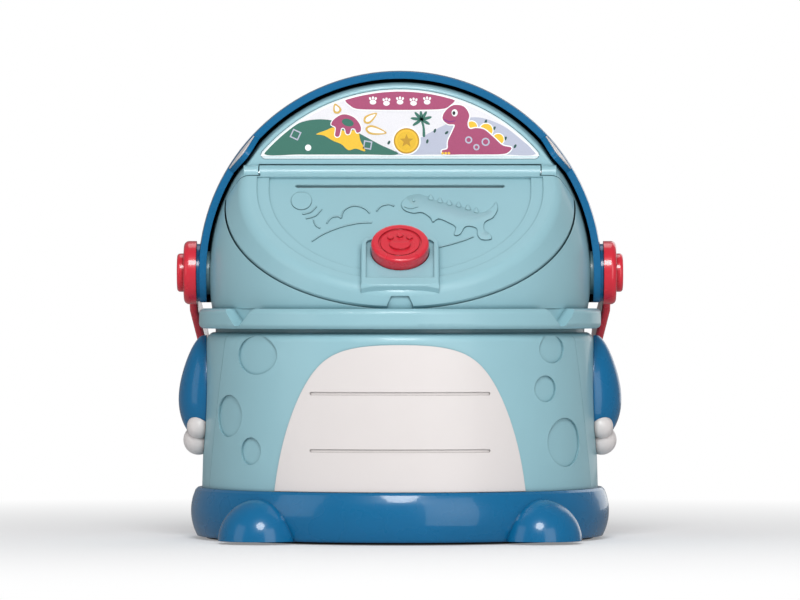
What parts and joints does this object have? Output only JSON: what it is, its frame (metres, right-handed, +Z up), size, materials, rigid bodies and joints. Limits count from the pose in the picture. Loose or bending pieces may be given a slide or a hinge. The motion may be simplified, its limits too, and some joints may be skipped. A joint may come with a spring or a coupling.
{
  "type": "mechanical coin bank",
  "caption": "Round toy money bank with a lifting dome visor over a sloped face, hinged slotted door with a push button, side arms, bulged base and a swinging carrying handle.",
  "frame": {"origin": "on the floor, at the centre of the soft ring that the bank stands on, which is also the body's axis", "axes": "+Z up, front (sloped face, door and belly) towards -Y, +X to the right as seen from the front"},
  "size_m": [0.1856, 0.1858, 0.1942],
  "materials": {
    "blue_gloss": "deep blue glossy moulded plastic",
    "light_blue": "light blue satin moulded plastic",
    "cream_white": "warm white moulded plastic",
    "red_gloss": "red glossy moulded plastic",
    "black_print": "glossy black",
    "printed_label": "printed film with a painted landscape",
    "white_inner": "plain white inner moulding",
    "black_rubber": "black soft ring",
    "steel": "zinc-plated steel",
    "cell_jacket": "plain printed battery jacket",
    "circuit_green": "green circuit board",
    "speaker_black": "black speaker basket"
  },
  "bodies": {
    "bank": {"base_shell": "blue_gloss", "base_plate": "blue_gloss", "rubber_foot_ring": "black_rubber", "base_screws": "steel", "battery_cover": "blue_gloss", "battery_cover_screw": "steel", "battery_cells": "cell_jacket", "battery_contacts": "steel", "speaker": "speaker_black", "circuit_board": "circuit_green", "switch_case": "speaker_black", "money_floor": "light_blue", "body_front_shell": "light_blue", "body_rear_shell": "light_blue", "body_screws": "steel", "belly_panel": "cream_white", "left_arm": "blue_gloss", "right_arm": "blue_gloss", "left_claws": "cream_white", "right_claws": "cream_white", "neck_ring": "light_blue", "head_shell": "light_blue", "face_label": "printed_label", "door_hinge_pin": "steel", "door_keeper": "white_inner", "left_pivot_cap": "red_gloss", "right_pivot_cap": "red_gloss", "pivot_screws": "steel"},
    "visor": {"visor_shell": "blue_gloss", "crest_front": "red_gloss", "crest_middle": "red_gloss", "crest_rear": "red_gloss", "left_eye": "cream_white", "right_eye": "cream_white", "left_pupil": "black_print", "right_pupil": "black_print", "left_tooth": "cream_white", "right_tooth": "cream_white"},
    "handle": {"handle": "red_gloss"},
    "door": {"door_panel": "light_blue", "coin_guide": "white_inner", "button_housing": "white_inner", "lock_solenoid": "steel", "button_spring": "steel"},
    "button": {"button": "red_gloss"},
    "lock_bolt": {"lock_bolt": "steel"},
    "power_switch": {"power_switch": "black_print"}
  },
  "joints": [
    {"name": "visor_swing", "type": "hinge", "parent": "bank", "child": "visor", "pos_m": [0, 0, 0.1104], "axis": [-1, 0, 0], "range_deg": [-90, 0]},
    {"name": "handle_swing", "type": "hinge", "parent": "bank", "child": "handle", "pos_m": [0, 0, 0.1104], "axis": [1, 0, 0], "range_deg": [0, 262]},
    {"name": "door_swing", "type": "hinge", "parent": "bank", "child": "door", "pos_m": [0, -0.01883, 0.15151], "axis": [-1, 0, 0], "range_deg": [0, 100]},
    {"name": "button_press", "type": "slide", "parent": "door", "child": "button", "axis": [0, 0.6428, -0.766], "range_m": [0, 0.003], "stiffness_N_per_m": 300, "springref_m": -0.003, "deforming": ["button_spring"]},
    {"name": "lock_slide", "type": "slide", "parent": "door", "child": "lock_bolt", "axis": [0, -0.766, -0.6428], "range_m": [0, 0.005]},
    {"name": "switch_slide", "type": "slide", "parent": "bank", "child": "power_switch", "axis": [0, 1, 0], "range_m": [0, 0.004]}
  ]
}
